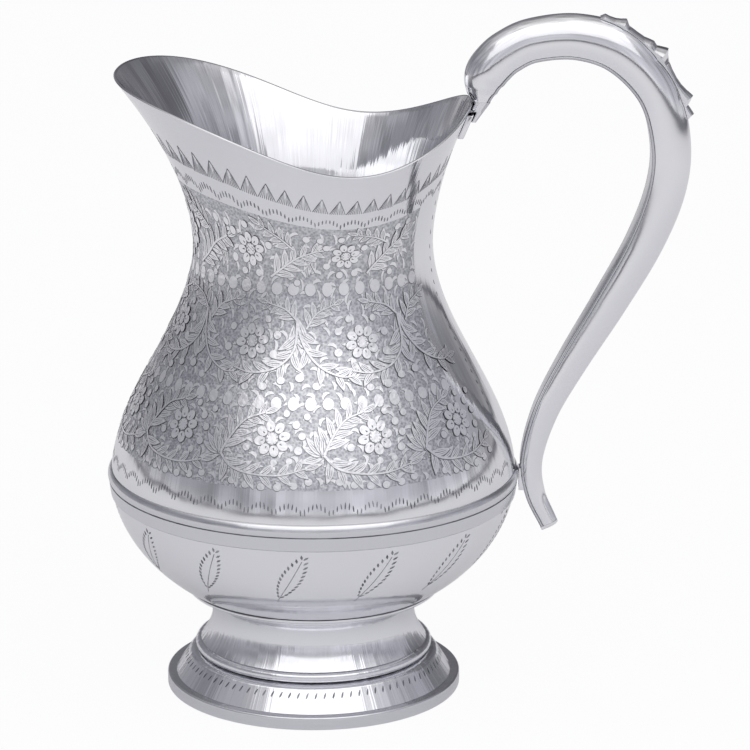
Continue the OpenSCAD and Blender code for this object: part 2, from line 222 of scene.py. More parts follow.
def turned(name, profile, smooth=35):
    """A turned piece from a closed profile of radius and height, outer side upwards first."""
    profile = np.asarray(profile, float)
    angles = np.linspace(0, 2 * np.pi, ROUND, endpoint=False)
    points = []
    starts = []
    for radius, height in profile:
        starts.append(len(points))
        if radius < 1e-6:
            points.append((0.0, 0.0, height))
        else:
            points += [(radius * c, radius * s, height) for c, s in zip(np.cos(angles), np.sin(angles))]
    faces = []
    for i in range(len(profile)):
        k = (i + 1) % len(profile)
        a, b = starts[i], starts[k]
        if profile[i][0] < 1e-6 and profile[k][0] < 1e-6:
            continue
        if profile[i][0] < 1e-6:
            faces += [(a, b + (j + 1) % ROUND, b + j) for j in range(ROUND)]
        elif profile[k][0] < 1e-6:
            faces += [(a + j, a + (j + 1) % ROUND, b) for j in range(ROUND)]
        else:
            faces += ring_quads(a, b, ROUND)
    return make_object(name, points, faces, smooth)


def finish_piece(thing, node):
    """Rides a finished piece on the body, in place of its CAD node."""
    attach(thing, "root")
    if node:
        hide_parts(node)


# Materials

def polished_silver(name, tint, low, high, wave, streak, grain):
    """Silver polished on a mop: mirror bright, with faint waves, upright streaks and wiping haze."""
    material = bpy.data.materials.new(name)
    material.use_nodes = True
    tree = material.node_tree
    shader = tree.nodes["Principled BSDF"]
    shader.inputs["Base Color"].default_value = linear(tint)
    shader.inputs["Metallic"].default_value = 1.0
    place = put(tree, "ShaderNodeTexCoord").outputs["Object"]
    # Haze left by wiping, in patches of about 18 mm
    haze = put(tree, "ShaderNodeTexNoise", {"Vector": place, "Scale": 1 / 0.018, "Detail": 4.0})
    rough = put(tree, "ShaderNodeMapRange", {"Value": haze.outputs["Fac"], "From Min": 0.35, "From Max": 0.7,
                                             "To Min": low, "To Max": high})
    tree.links.new(rough.outputs["Result"], shader.inputs["Roughness"])
    # Planishing waves of about 14 mm
    waves = put(tree, "ShaderNodeTexNoise", {"Vector": place, "Scale": 1 / 0.014, "Detail": 1.0})
    hammer = put(tree, "ShaderNodeBump", {"Height": waves.outputs["Fac"], "Strength": wave,
                                          "Distance": 0.001})
    # Upright streaks about 4 mm wide from raising the sheet, the same all the way up
    level = put(tree, "ShaderNodeVectorMath", {0: place, 1: (1, 1, 0)}, operation="MULTIPLY")
    round_place = put(tree, "ShaderNodeVectorMath", {0: level.outputs["Vector"]}, operation="NORMALIZE")
    strokes = put(tree, "ShaderNodeTexNoise", {"Vector": round_place.outputs["Vector"], "Scale": 13.0,
                                               "Detail": 3.0})
    raised = put(tree, "ShaderNodeBump", {"Height": strokes.outputs["Fac"], "Strength": streak,
                                          "Distance": 0.001, "Normal": hammer.outputs["Normal"]})
    # Facets of the graver, about 2 mm
    facets = put(tree, "ShaderNodeTexNoise", {"Vector": place, "Scale": 1 / 0.002, "Detail": 1.0})
    bump = put(tree, "ShaderNodeBump", {"Height": facets.outputs["Fac"], "Strength": grain,
                                        "Distance": 0.0004, "Normal": raised.outputs["Normal"]})
    tree.links.new(bump.outputs["Normal"], shader.inputs["Normal"])
    return material


def hatched_ground():
    """Silver cut all over with fine hatching: a matt grey that holds a little tarnish in the cuts."""
    material = bpy.data.materials.new("hatched_silver_ground")
    material.use_nodes = True
    tree = material.node_tree
    shader = tree.nodes["Principled BSDF"]
    shader.inputs["Metallic"].default_value = 1.0
    place = put(tree, "ShaderNodeTexCoord").outputs["Object"]
    # Stippled cuts of about 1.1 mm, as coarse as the render can show
    cuts = put(tree, "ShaderNodeTexVoronoi", {"Vector": place, "Scale": 1 / 0.0011})
    grain = put(tree, "ShaderNodeTexNoise", {"Vector": place, "Scale": 1 / 0.0007, "Detail": 3.0})
    depth = put(tree, "ShaderNodeMath", {0: cuts.outputs["Distance"], 1: grain.outputs["Fac"]},
                operation="MULTIPLY")
    tarnish = put(tree, "ShaderNodeValToRGB", {"Fac": depth.outputs["Value"]})
    tarnish.color_ramp.elements[0].position = 0.05
    tarnish.color_ramp.elements[0].color = linear("#a4a5ab")
    tarnish.color_ramp.elements[1].position = 0.42
    tarnish.color_ramp.elements[1].color = linear("#dcdce0")
    tree.links.new(tarnish.outputs["Color"], shader.inputs["Base Color"])
    rough = put(tree, "ShaderNodeMapRange", {"Value": grain.outputs["Fac"], "To Min": 0.3, "To Max": 0.52})
    tree.links.new(rough.outputs["Result"], shader.inputs["Roughness"])
    bump = put(tree, "ShaderNodeBump", {"Height": depth.outputs["Value"], "Strength": 0.28,
                                        "Distance": 0.0004})
    tree.links.new(bump.outputs["Normal"], shader.inputs["Normal"])
    return material


def cut_line():
    """The engraver's line: a burr-edged groove dark with tarnish. The same dark also paints shade: the
    shifted outlines and the rings in the joints.
    """
    material = bpy.data.materials.new("engraved_line_tarnish_and_shade")
    material.use_nodes = True
    tree = material.node_tree
    shader = tree.nodes["Principled BSDF"]
    shader.inputs["Metallic"].default_value = 1.0
    place = put(tree, "ShaderNodeTexCoord").outputs["Object"]
    # The tarnish comes and goes along a line, over about 5 mm
    patches = put(tree, "ShaderNodeTexNoise", {"Vector": place, "Scale": 1 / 0.005, "Detail": 2.0})
    tone = put(tree, "ShaderNodeValToRGB", {"Fac": patches.outputs["Fac"]})
    tone.color_ramp.elements[0].position = 0.35
    tone.color_ramp.elements[0].color = linear("#707177")
    tone.color_ramp.elements[1].position = 0.7
    tone.color_ramp.elements[1].color = linear("#aaabb1")
    tree.links.new(tone.outputs["Color"], shader.inputs["Base Color"])
    shader.inputs["Roughness"].default_value = 0.45
    return material


plain_silver = polished_silver("polished_silver_plate", "#e9e9ec", 0.09, 0.16, 0.1, 0.0, 0.01)
turned_silver = polished_silver("spun_silver_plate", "#e8e8eb", 0.08, 0.15, 0.14, 0.16, 0.01)
foot_silver = polished_silver("spun_silver_foot", "#e8e8ec", 0.11, 0.19, 0.06, 0.34, 0.01)
# A darker, rougher grey silver for the strap under the handle and the rim's edge
strap_silver = polished_silver("darker_grey_silver", "#c8c8cc", 0.16, 0.26, 0.05, 0.0, 0.01)
wire_silver = polished_silver("drawn_silver_wire", "#dadade", 0.16, 0.26, 0.1, 0.1, 0.01)
inner_silver = polished_silver("raised_silver_inside", "#e4e4e7", 0.05, 0.12, 0.1, 0.3, 0.01)
bright_cut = polished_silver("burnished_silver_cut", "#f6f6f8", 0.27, 0.38, 0.0, 0.0, 0.35)
ground = hatched_ground()
line = cut_line()

# Upper body: outer wall, rounded rim and inner wall in one closed skin

GROUND_LOW = 18.5
GROUND_HIGH = 117.5
RESERVE = math.radians(33)


def make_upper_body():
    """The engraved upper half, with a metal for each part of its skin."""
    outer_rows = np.linspace(0, FULL_LENGTH, 150)
    inner_rows = np.linspace(FULL_LENGTH, 0, 90)
    angles = np.linspace(0, 2 * np.pi, ROUND, endpoint=False)
    outer = body_points(outer_rows, angles)
    inner = body_points(inner_rows, angles, WALL)
    roll = [outer[-1] + (inner[0] - outer[-1]) * t + np.array([0, 0, 0.45 * math.sin(math.pi * t)])
            for t in (0.12, 0.3, 0.5, 0.7, 0.88)]
    rows = list(outer) + roll + list(inner)
    points = np.concatenate(rows)
    count = len(rows)
    faces = []
    for i in range(count):
        faces += ring_quads(i * ROUND, (i + 1) % count * ROUND, ROUND)
    thing = make_object("upper_body", points, faces, 60)
    mesh = thing.data
    for material in (turned_silver, ground, inner_silver, strap_silver):
        mesh.materials.append(material)
    ring = np.repeat(np.arange(count), ROUND)
    column = np.tile(np.arange(ROUND), count)
    turn = (column + 0.5) * 2 * np.pi / ROUND
    away = np.minimum(turn, 2 * np.pi - turn)
    middle = np.interp(ring + 0.5, np.arange(len(outer_rows)), outer_rows, right=999)
    in_band = (middle > GROUND_LOW) & (middle < GROUND_HIGH)
    engraved = in_band & (away > RESERVE) & (ring < len(outer_rows) - 1)
    index = np.where(engraved, 1, np.where(ring >= len(outer_rows) + 5, 2, 0))
    # The edge of the rim takes the darker, rougher grey silver
    index[(ring >= len(outer_rows) - 1) & (ring < len(outer_rows) + 5)] = 3
    mesh.polygons.foreach_set("material_index", index.astype(np.int32))
    mesh.update()
    return thing


upper_body = make_upper_body()

# Turned pieces of the bowl, the band and the foot

heights = np.linspace(BOWL_FLOOR, SEAM_HEIGHT, 70)
inside = np.linspace(SEAM_HEIGHT, BOWL_FLOOR + WALL, 60)
lower_bowl = turned("lower_bowl", [(0, BOWL_FLOOR)] + [(bowl(z), z) for z in heights]
                    + [(bowl(z) - WALL * 1.15, z) for z in inside] + [(0, BOWL_FLOOR + WALL)])


def under_band(z):
    """The body under the girdle band: bowl below the seam, upper body above it."""
    return (bowl(z) if z < SEAM_HEIGHT else belly(z)) + GAP


strip = [(under_band(z) + STRIP_THICK * min(1, (z - BAND[0]) / 0.35 + 0.25), z)
         for z in np.concatenate([np.linspace(BAND[0], BAND[0] + 0.4, 4), np.linspace(78.4, BAND[1], 10)])]
bead = []
for t in np.linspace(0.01, 1, 28):
    z = BAND[1] + (BAND[2] - BAND[1]) * t
    swell = math.sin(math.pi * t) ** 0.7
    bead.append((under_band(z) + 0.12 + (BEAD_STAND - 0.12) * swell, z))
back = [(under_band(z), z) for z in np.linspace(BAND[2], BAND[0], 14)]
girdle_band = turned("girdle_band", strip + bead + back)

collar_back = [(bowl(z) + 2 * GAP, z) for z in np.linspace(COLLAR_HIGH, BOWL_FLOOR, 10)]
collar_front = []
for t in np.linspace(0, 1, 49):
    swell = abs(math.sin(2 * math.pi * t)) ** 0.75
    z = BOWL_FLOOR + (COLLAR_HIGH - BOWL_FLOOR) * t
    collar_front.append((bowl(z) + 0.4 + (COLLAR_STAND - 0.1) * swell, z - 0.35 * swell))
foot_collar = turned("foot_collar", collar_front + collar_back)

stem_heights = np.linspace(STEP_HEIGHT + GAP, BOWL_FLOOR - GAP, 50)
foot_stem = turned("foot_stem", [(stem(z), z) for z in stem_heights]
                   + [(stem(z) - WALL * 1.2, z) for z in stem_heights[::-1]])

edge = stem(STEP_HEIGHT)
skirt_high = STEP_HEIGHT - 2 * STEP_BEAD
skirt_heights = np.linspace(RING_HEIGHT + GAP, skirt_high - 0.05, 24)
step_bead = [(edge + STEP_BEAD * math.cos(a), STEP_HEIGHT - STEP_BEAD + STEP_BEAD * math.sin(a))
             for a in np.linspace(-math.pi / 2, math.pi / 2, 20)]
skirt_back = [(max(skirt(z + WALL) - WALL * 0.5, edge - 1.75 * WALL), z) for z in skirt_heights[::-1]]
foot_skirt = turned("foot_skirt", [(skirt(z), z) for z in skirt_heights] + step_bead
                    + [(edge - 2 * WALL, STEP_HEIGHT), (edge - 2 * WALL, skirt_high)] + skirt_back)

corner = 0.8
ring_low = [(RING_RADIUS - corner * 0.6 + corner * 0.6 * math.sin(a), corner * 0.6 * (1 - math.cos(a)))
            for a in np.linspace(0, math.pi / 2, 8)]
ring_high = [(RING_RADIUS - corner + corner * math.cos(a), RING_HEIGHT - corner + corner * math.sin(a))
             for a in np.linspace(0, math.pi / 2, 10)]
foot_ring = turned("foot_ring", ring_low + ring_high
                   + [(RING_RADIUS - RING_WIDTH, RING_HEIGHT), (RING_RADIUS - RING_WIDTH, 0)])

# Thin dark rings in the grooves beside the band and the beads: painted shade of the joints, with tarnish


def groove(name, radius, height):
    """A dark ring in a groove, 0.4 mm high: painted shade with tarnish."""
    profile = [(radius - 0.3, height - 0.2), (radius + 0.05, height), (radius - 0.3, height + 0.2)]
    return turned(name, profile, 180)


grooves = [
    groove("groove_under_band", bowl(BAND[0] - 0.15), BAND[0] - 0.15),
    groove("groove_in_band", under_band(BAND[1]) + STRIP_THICK, BAND[1]),
    groove("groove_over_band", belly(BAND[2] + 0.2), BAND[2] + 0.2),
    groove("groove_under_collar", stem(BOWL_FLOOR - 0.3), BOWL_FLOOR - 0.3),
    groove("groove_under_bead", skirt(skirt_high - 0.25), skirt_high - 0.25),
]

# Handle: a domed shell closed by a flat strap, swept along its centre line


TOE_REACH = RIM_REACHES[0] + TOE_STAND
TOE_HEIGHT = RIM_HEIGHTS[0] + TOE_LIFT
BAND_FACE = under_band((BAND[1] + BAND[2]) / 2) + BEAD_STAND
HANDLE_LINE = np.array([
    (TOE_REACH + (BAND_FACE - TOE_REACH) * down + HANDLE_REACH * reach,
     RIM_HEIGHTS[0] + (SEAM_HEIGHT - RIM_HEIGHTS[0]) * down + HANDLE_RISE * rise, HANDLE_THICK * thick)
    for down, reach, rise, thick in HANDLE_SHAPE])


def handle_at(u):
    """Centre and thickness at a place on the handle line."""
    before = 2 * HANDLE_LINE[0] - HANDLE_LINE[1]
    after = 2 * HANDLE_LINE[-1] - HANDLE_LINE[-2]
    knots = np.vstack([before, HANDLE_LINE, after])
    i = min(int(math.floor(u)), LAST - 1)
    t = u - i
    a, b, c, d = knots[i:i + 4]
    return 0.5 * (2 * b + (c - a) * t + (2 * a - 5 * b + 4 * c - d) * t * t
                  + (3 * b - a - 3 * c + d) * t * t * t)


def along(u):
    """Direction of the handle line."""
    step = handle_at(min(u + 0.01, LAST)) - handle_at(max(u - 0.01, 0))
    return step[:2] / np.linalg.norm(step[:2])


def handle_point(u, out, across):
    """A point out from the centre line and across, slid to the toe's level at the first station."""
    centre = handle_at(u)
    way = along(u)
    x = centre[0] - way[1] * out
    z = centre[1] + way[0] * out
    if u == 0:
        x += way[0] / way[1] * (TOE_HEIGHT - z)
        z = TOE_HEIGHT
    return (x, across, z)


def half_width(u):
    """Half the handle's width, which stays broad at the toe."""
    half = handle_at(u)[2] * HANDLE_WIDTH_PART / 2
    fade = min(max((u - 1.2) / 2.8, 0.0), 1.0)
    toe = TOE_HALF * (1 - fade * fade * (3 - 2 * fade))
    return (half ** 8 + toe ** 8) ** 0.125


def dome(u, inset, steps=40):
    """Outline of the shell as pairs out and across, with its two lower edges eased."""
    thick = handle_at(u)[2]
    width = half_width(u) - inset
    low = -thick / 2 + HANDLE_WALL
    ease = 0.35 if inset == 0 else 0.1
    # The section is squarer towards the toe
    power = 1 - 0.35 * max(0.0, 1 - u / 3.5)
    arch = []
    for a in np.linspace(0, math.pi, steps):
        up = max(math.sin(a), 0.0) ** power
        side = math.copysign(abs(math.cos(a)) ** power, math.cos(a))
        arch.append((-DOME_FOOT * thick + (DOME_RISE * thick - inset) * up, -width * side))
    return ([(low, -width + ease), (low + ease, -width)] + arch + [(low + ease, width), (low, width - ease)])


stations = [0.0] + list(np.linspace(0.1, LAST, 240))


def swept(name, rings, smooth=50):
    """A solid through rings of the same number of points, closed by a face at each end."""
    count = len(rings[0])
    points = [p for ring in rings for p in ring]
    faces = []
    for i in range(len(rings) - 1):
        faces += ring_quads((i + 1) * count, i * count, count)
    end = (len(rings) - 1) * count
    faces.append(tuple(range(count)))
    faces.append(tuple(end + j for j in reversed(range(count))))
    return make_object(name, points, faces, smooth)


def shell_ring(u):
    """Points of the shell at a station: its outer side, then back along its inner side."""
    outer_side = [handle_point(u, *p) for p in dome(u, 0)]
    inner_side = [handle_point(u, *p) for p in reversed(dome(u, HANDLE_WALL, 14))]
    return outer_side + inner_side


handle_shell = swept("handle_shell", [shell_ring(u) for u in stations])


def strap_outline(u):
    """Outline of the strap as pairs out and across, its inner edges rounded over."""
    thick = handle_at(u)[2]
    width = half_width(u)
    high = -thick / 2 + HANDLE_WALL - GAP
    low = -thick / 2
    turn = high - low - 0.25
    edge = [(low + turn - turn * math.sin(a), width - turn + turn * math.cos(a))
            for a in np.linspace(0, math.pi / 2, 7)]
    return ([(high, -width + 0.25), (high, width - 0.25), (high - 0.1, width - 0.05)] + edge
            + [(out, -across) for out, across in reversed(edge)] + [(high - 0.1, -width + 0.05)])


handle_strap = swept("handle_strap", [[handle_point(u, *p) for p in strap_outline(u)] for u in stations])


def eased_copy(node, width):
    """A small fitting: its CAD form with the edges rounded over."""
    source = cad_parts[node]
    mesh = source.data.copy()
    mesh.name = node
    thing = bpy.data.objects.new(node + "_piece", mesh)
    bpy.context.scene.collection.objects.link(thing)
    mesh.materials.clear()
    weld = thing.modifiers.new("weld", "WELD")
    weld.merge_threshold = 0.00001
    flatten = thing.modifiers.new("flatten", "DECIMATE")
    flatten.decimate_type = "DISSOLVE"
    flatten.angle_limit = math.radians(4)
    bevel = thing.modifiers.new("bevel", "BEVEL")
    bevel.width = width * 0.001
    bevel.segments = 4
    bevel.limit_method = "ANGLE"
    bevel.angle_limit = math.radians(30)
    bpy.context.view_layer.update()
    graph = bpy.context.evaluated_depsgraph_get()
    made = bpy.data.meshes.new_from_object(thing.evaluated_get(graph))
    thing.modifiers.clear()
    thing.data = made
    made.shade_smooth()
    made.set_sharp_from_angle(angle=math.radians(40))
    return thing


rim_pad = eased_copy("rim_pad", 0.4)
lower_pad = eased_copy("lower_pad", 0.2)


def make_toe_wedge():
    """The wedge that closes the toe and runs down outside the rim onto its pad."""
    thick = handle_at(0)[2]
    outline = [(-thick / 2, -half_width(0))] + dome(0, 0)[1:-1] + [(-thick / 2, half_width(0))]
    high = TOE_HEIGHT - GAP
    pad_top = NECK_HEIGHT + (RIM_HEIGHTS[0] - NECK_HEIGHT) * RIM_PAD_HIGH

    def pad_face(z):
        share = (z - NECK_HEIGHT) / (RIM_HEIGHTS[0] - NECK_HEIGHT)
        return NECK_RADIUS + (RIM_REACHES[0] - NECK_RADIUS) * share ** FLARE_POWER + RIM_PAD_THICK + 2 * GAP

    end = TOE_REACH + thick / 2
    rings = []
    for s in np.linspace(1, 0, 17):
        z = high - TOE_DROP * s
        # Above the pad the wedge lies on the rim itself
        over = min(max((z - pad_top) / 0.8, 0.0), 1.0)
        near = pad_face(z) - RIM_PAD_THICK * over
        far = end + (pad_face(high - TOE_DROP) + TOE_TIP - end) * s
        narrow = 1 - 0.35 * s
        rings.append([(near + (far - near) * (0.5 - out / thick), across * narrow, z)
                      for out, across in outline])
    thing = swept("handle_end_plate", rings)
    # The strap's darker grey silver runs on down the wedge
    thing.data.materials.append(plain_silver)
    thing.data.materials.append(strap_silver)
    count = len(outline)
    for face in thing.data.polygons:
        if face.index < count * (len(rings) - 1) and face.index % count in (0, count - 2, count - 1):
            face.material_index = 1
    return thing


def make_tail_plate():
    """The plate that closes the free tail, rounded over at its edge."""
    thick = handle_at(LAST)[2]
    wide = half_width(LAST)
    outline = [(-thick / 2, -wide)] + dome(LAST, 0)[1:-1] + [(-thick / 2, wide)]
    way = along(LAST)
    rings = []
    for step, size in ((GAP, 1.0), (0.9, 1.0), (1.2, 0.95), (1.38, 0.86), (1.45, 0.72)):
        ring = [handle_point(LAST, out * size, across * size) for out, across in outline]
        rings.append([(x + way[0] * step, y, z + way[1] * step) for x, y, z in ring])
    return swept("handle_tail_plate", rings)


def make_thumbpiece():
    """A cast leaf along the top of the dome, its edge scooped between sharp tips."""
    shares = np.concatenate([np.linspace(a, b, 4, endpoint=False)
                             for a, b in zip(THUMB_EDGE[:-1, 0], THUMB_EDGE[1:, 0])] + [[1.0]])
    rows, cols = len(shares), 25

    def height(t):
        return float(np.interp(t, THUMB_EDGE[:, 0], THUMB_EDGE[:, 1]))

    def spread(t):
        wide = math.sqrt(max(math.sin(math.pi * (0.06 + 0.88 * t)), 0))
        return 10 + 24 * wide * (0.8 + 0.2 * height(t))

    def place(t, k, lift):
        u = THUMB_SPAN[0] + (THUMB_SPAN[1] - THUMB_SPAN[0]) * t
        thick = handle_at(u)[2]
        a = math.pi / 2 + math.radians(spread(t)) * k
        out = -DOME_FOOT * thick + (DOME_RISE * thick + lift) * math.sin(a)
        return handle_point(u, out, -(half_width(u) + lift) * math.cos(a))

    top, base = [], []
    for t in shares:
        for j in range(cols):
            k = 2 * j / (cols - 1) - 1
            veins = 0.1 * math.cos(5 * math.pi * k) * (1 - k * k)
            rise = THUMB_THICK * height(t) * (1 - 0.3 * k * k) + veins * height(t)
            top.append(place(t, k, 2 * GAP + rise))
            base.append(place(t, k, 2 * GAP))
    count = rows * cols
    faces = []
    for i in range(rows - 1):
        for j in range(cols - 1):
            c = i * cols + j
            faces.append((c, c + cols, c + cols + 1, c + 1))
            faces.append((count + c, count + c + 1, count + c + cols + 1, count + c + cols))
    rim = list(range(cols)) + [i * cols + cols - 1 for i in range(1, rows)]
    rim += [(rows - 1) * cols + j for j in range(cols - 2, -1, -1)]
    rim += [i * cols for i in range(rows - 2, 0, -1)]
    for k, a in enumerate(rim):
        b = rim[(k + 1) % len(rim)]
        faces.append((a, b, count + b, count + a))
    return make_object("thumbpiece", top + base, faces, 40)


handle_end_plate = make_toe_wedge()
handle_tail_plate = make_tail_plate()
thumbpiece = make_thumbpiece()

# Engraving: flat motifs drawn in millimetres, then laid on the plate by one node tree


def blank():
    """An empty motif: points, faces, which faces are cut lines, and the count of leaves drawn."""
    return {"points": [], "faces": [], "line": [], "drawn": 0}


def layer(number):
    """Height of a numbered layer above the plate."""
    return FIRST_LAYER + LAYER_STEP * number


def next_layer(motif):
    """Height of the next leaf or berry, so that it lies over the ones before it."""
    motif["drawn"] += 1
    return layer(motif["drawn"] % LAYERS)


def add_patch(motif, outline, level, is_line):
    """A flat patch as a fan round its middle."""
    outline = np.asarray(outline, float)
    start = len(motif["points"])
    motif["points"].append((*outline.mean(axis=0), level))
    motif["points"] += [(x, y, level) for x, y in outline]
    count = len(outline)
    for j in range(count):
        motif["faces"].append((start, start + 1 + j, start + 1 + (j + 1) % count))
        motif["line"].append(is_line)


def add_strip(motif, path, halves, level, is_line):
    """A flat strip along a path, with a half width at each point and a middle line to follow the plate."""
    path = np.asarray(path, float)
    way = np.gradient(path, axis=0)
    way /= np.maximum(np.linalg.norm(way, axis=1, keepdims=True), 1e-9)
    side = np.stack([-way[:, 1], way[:, 0]], axis=1) * np.asarray(halves)[:, None]
    start = len(motif["points"])
    for p, s in zip(path, side):
        motif["points"] += [(*(p + s), level), (*p, level), (*(p - s), level)]
    for j in range(len(path) - 1):
        for a in (start + 3 * j, start + 3 * j + 1):
            motif["faces"].append((a, a + 1, a + 4, a + 3))
            motif["line"].append(is_line)


def blade(motif, base, angle, length, width, bend=0.0):
    """A leaf blade with a dark outline, a cut midrib and two fine veins. Angles in degrees."""
    level = next_layer(motif)
    t = np.linspace(0, 1, 9)
    heading = math.radians(angle) + math.radians(bend) * t
    steps = np.stack([np.cos(heading), np.sin(heading)], axis=1) * length / (len(t) - 1)
    path = np.asarray(base) + np.concatenate([[[0, 0]], np.cumsum(steps[:-1], axis=0)])
    half = width / 2 * np.sin(np.pi * np.clip(t, 0.1, 1) ** 0.75) ** 0.85
    # The dark outline is shifted by SHADE: painted shade on the blade's lower side
    add_strip(motif, path + SHADE, half + OUTLINE, level, True)
    add_strip(motif, path, half, level + BRIGHT_LEVEL, False)
    add_strip(motif, path[1:7], 0.11 * (1 - t[1:7]) + 0.05, level + DETAIL_LEVEL, True)
    across = np.stack([-np.sin(heading), np.cos(heading)], axis=1) * half[:, None]
    vein = [0.02, 0.07, 0.08, 0.06, 0.02]
    for side in (0.5, -0.5):
        add_strip(motif, (path + side * across)[2:7], vein, level + DETAIL_LEVEL, True)


def oval(centre, wide, tall, turn=0.0, count=14):
    """Outline of an oval with its half width and half height, turned by an angle in radians."""
    a = np.linspace(0, 2 * np.pi, count, endpoint=False)
    x = wide * np.cos(a)
    y = tall * np.sin(a)
    c, s = math.cos(turn), math.sin(turn)
    return np.stack([centre[0] + c * x - s * y, centre[1] + s * x + c * y], axis=1)


def bud(motif, centre, size):
    """A small berry, with its dark outline shifted down as painted shade below."""
    level = next_layer(motif)
    add_patch(motif, oval(np.asarray(centre) + SHADE, size + OUTLINE, size + OUTLINE), level, True)
    add_patch(motif, oval(centre, size, size), level + BRIGHT_LEVEL, False)


def smooth_path(points):
    """A smooth line through a few points."""
    points = np.asarray(points, float)
    knots = np.vstack([2 * points[0] - points[1], points, 2 * points[-1] - points[-2]])
    path = []
    for i in range(len(points) - 1):
        a, b, c, d = knots[i:i + 4]
        for t in np.linspace(0, 1, 8, endpoint=False):
            path.append(0.5 * (2 * b + (c - a) * t + (2 * a - 5 * b + 4 * c - d) * t ** 2
                               + (3 * b - a - 3 * c + d) * t ** 3))
    path.append(points[-1])
    return np.array(path)


def feather(motif, points, pairs, length, width, lean=36):
    """A spray: a curved stem with leaf blades leaning forward on both sides, shorter towards its tip."""
    path = smooth_path(points)
    way = np.gradient(path, axis=0)
    headings = np.degrees(np.unwrap(np.arctan2(way[:, 1], way[:, 0])))
    place = np.linspace(0, 1, len(path))
    for t in np.linspace(0.12, 0.9, pairs):
        base = (np.interp(t, place, path[:, 0]), np.interp(t, place, path[:, 1]))
        heading = np.interp(t, place, headings)
        long = length * (1 - 0.42 * t)
        wide = width * (1 - 0.3 * t)
        for side in (1, -1):
            blade(motif, base, heading + side * lean, long, wide, side * 26)
    blade(motif, path[-1], headings[-1], length * 0.7, width * 0.75)
    # The stem lies over all of its leaves
    level = layer(LAYERS)
    half = width * 0.15 * np.linspace(1, 0.5, len(path))
    # The stem's dark outline is shifted by SHADE: painted shade on its lower side
    add_strip(motif, path + SHADE, half + OUTLINE, level, True)
    add_strip(motif, path, half, level + BRIGHT_LEVEL, False)


def rosette(motif, radius, petals):
    """A round flower: petals with a dot each round a hatched eye."""
    level = layer(LAYERS + 1)
    half = radius * 0.68 * math.sin(math.pi / petals)
    for k in range(petals):
        a = 2 * math.pi * (k + 0.25) / petals
        way = np.array([math.cos(a), math.sin(a)])
        centre = way * radius * 0.68
        # Each petal's dark outline is shifted by SHADE: painted shade on its lower side
        add_patch(motif, oval(centre + SHADE, radius * 0.31 + OUTLINE, half + OUTLINE * 0.5, a), level, True)
        add_patch(motif, oval(centre, radius * 0.31 - 0.02, half - 0.08, a), level + BRIGHT_LEVEL, False)
        dot = way * radius * 0.58
        stroke = [dot - way * 0.5, dot, dot + way * 0.5]
        add_strip(motif, stroke, [0.26, 0.2, 0.05], level + DETAIL_LEVEL, True)
    level = layer(LAYERS + 2)
    eye = radius * 0.33
    # The eye's dark outline is shifted by SHADE: painted shade on its lower side
    add_patch(motif, oval(SHADE, eye + OUTLINE, eye + OUTLINE), level, True)
    add_patch(motif, oval((0, 0), eye, eye), level + BRIGHT_LEVEL, False)
    for k in (-0.5, 0, 0.5):
        reach = eye * math.sqrt(1 - k * k)
        shift = eye * k
        for c, s in ((0.8, 0.6), (0.8, -0.6)):
            first = (-reach * c - shift * s, -reach * s + shift * c)
            last = (reach * c - shift * s, reach * s + shift * c)
            add_strip(motif, [first, last], [0.08, 0.08], level + DETAIL_LEVEL, True)


def low_panel():
    """The belly's repeat: a large flower, a spray over it, and a leafy stem below it with hanging berries."""
    motif = blank()
    base = (-19.0, -6.5)
    for x, y in ((-13.5, -16.2), (-8.5, -17.3), (-3.0, -17.8), (2.5, -17.8), (8.0, -17.2), (13.0, -15.8)):
        bud(motif, (x, y), 1.35)
    for angle, length in ((205, 9.0), (165, 8.5), (142, 9.5), (118, 10.0), (96, 9.0)):
        blade(motif, base, angle, length, 3.0, -14)
    feather(motif, [base, (-14.5, -11.0), (-7, -13.2), (3, -13.4), (12, -11.0)], 6, 8.8, 3.0)
    feather(motif, [base, (-15.8, 0.5), (-11, 6.6), (-3.5, 9.6)], 5, 9.6, 3.2)
    for x, y, size in ((8.8, 5.2, 1.5), (9.6, -4.4, 1.5), (-9.4, -3.6, 1.4), (5.0, 9.4, 1.3),
                       (11.0, 1.0, 1.4), (13.0, 8.2, 1.3), (1.0, -8.8, 1.2), (6.4, -8.2, 1.2)):
        bud(motif, (x, y), size)
    rosette(motif, 6.9, 8)
    return motif


def mid_panel():
    """The shoulder's repeat: a flower between sprays that spring from one stem and sweep under it."""
    motif = blank()
    base = (17.0, 8.5)
    for angle, length in ((-104, 13.0), (-92, 17.0), (-80, 14.0), (-66, 10.0)):
        blade(motif, base, angle, length, 3.2, 0)
    feather(motif, [base, (16.2, -2.0), (10.5, -9.0), (2.0, -11.6), (-5.0, -10.4)], 6, 9.4, 3.1)
    feather(motif, [base, (19.4, 0.0), (25.0, -8.0), (32.0, -12.2), (37.0, -12.4)], 5, 9.0, 3.0)
    feather(motif, [base, (12.0, 12.6), (4.5, 14.6)], 4, 7.2, 2.5)
    feather(motif, [(20.5, 5.5), (24.5, 11.2), (31.5, 14.4)], 4, 7.2, 2.5)
    for x, y, size in ((9.6, 3.0, 1.5), (8.8, -4.2, 1.5), (-9.0, 4.4, 1.4), (-9.4, -3.4, 1.5),
                       (5.4, 8.6, 1.3), (-4.6, 8.8, 1.3), (12.4, -13.8, 1.4), (6.6, -16.4, 1.4),
                       (18.6, -12.6, 1.5), (0.4, -17.0, 1.3), (24.2, -15.6, 1.4), (22.6, -3.6, 1.2)):
        bud(motif, (x, y), size)
    rosette(motif, 6.6, 8)
    return motif


